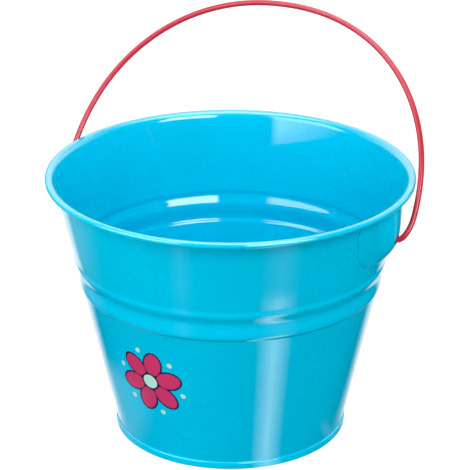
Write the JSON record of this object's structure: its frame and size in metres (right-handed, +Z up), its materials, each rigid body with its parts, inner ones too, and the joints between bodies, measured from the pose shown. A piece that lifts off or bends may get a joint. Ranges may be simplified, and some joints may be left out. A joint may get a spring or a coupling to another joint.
{
  "type": "sand bucket",
  "caption": "Conical sheet-metal sand bucket with a rolled rim, swaged ridges, a folded foot seam and domed ears that hold a swinging wire bail.",
  "frame": {"origin": "centre of the foot seam's ring, on the surface that the bucket stands on", "axes": "+Z up along the bucket's axis, X along the bail's pivot axis through both ears, +Y the side that the bail leans to at rest"},
  "size_m": [0.166, 0.16, 0.1775],
  "materials": {
    "turquoise_paint": "gloss",
    "red_paint": "gloss"
  },
  "bodies": {
    "bucket": {"wall": "turquoise_paint", "base": "turquoise_paint", "ear_right": "turquoise_paint", "ear_left": "turquoise_paint"},
    "handle": {"bail": "red_paint"}
  },
  "joints": [
    {"name": "bail_swing", "type": "hinge", "parent": "bucket", "child": "handle", "pos_m": [0, 0, 0.099], "axis": [1, 0, 0], "range_deg": [-107, 181]}
  ]
}
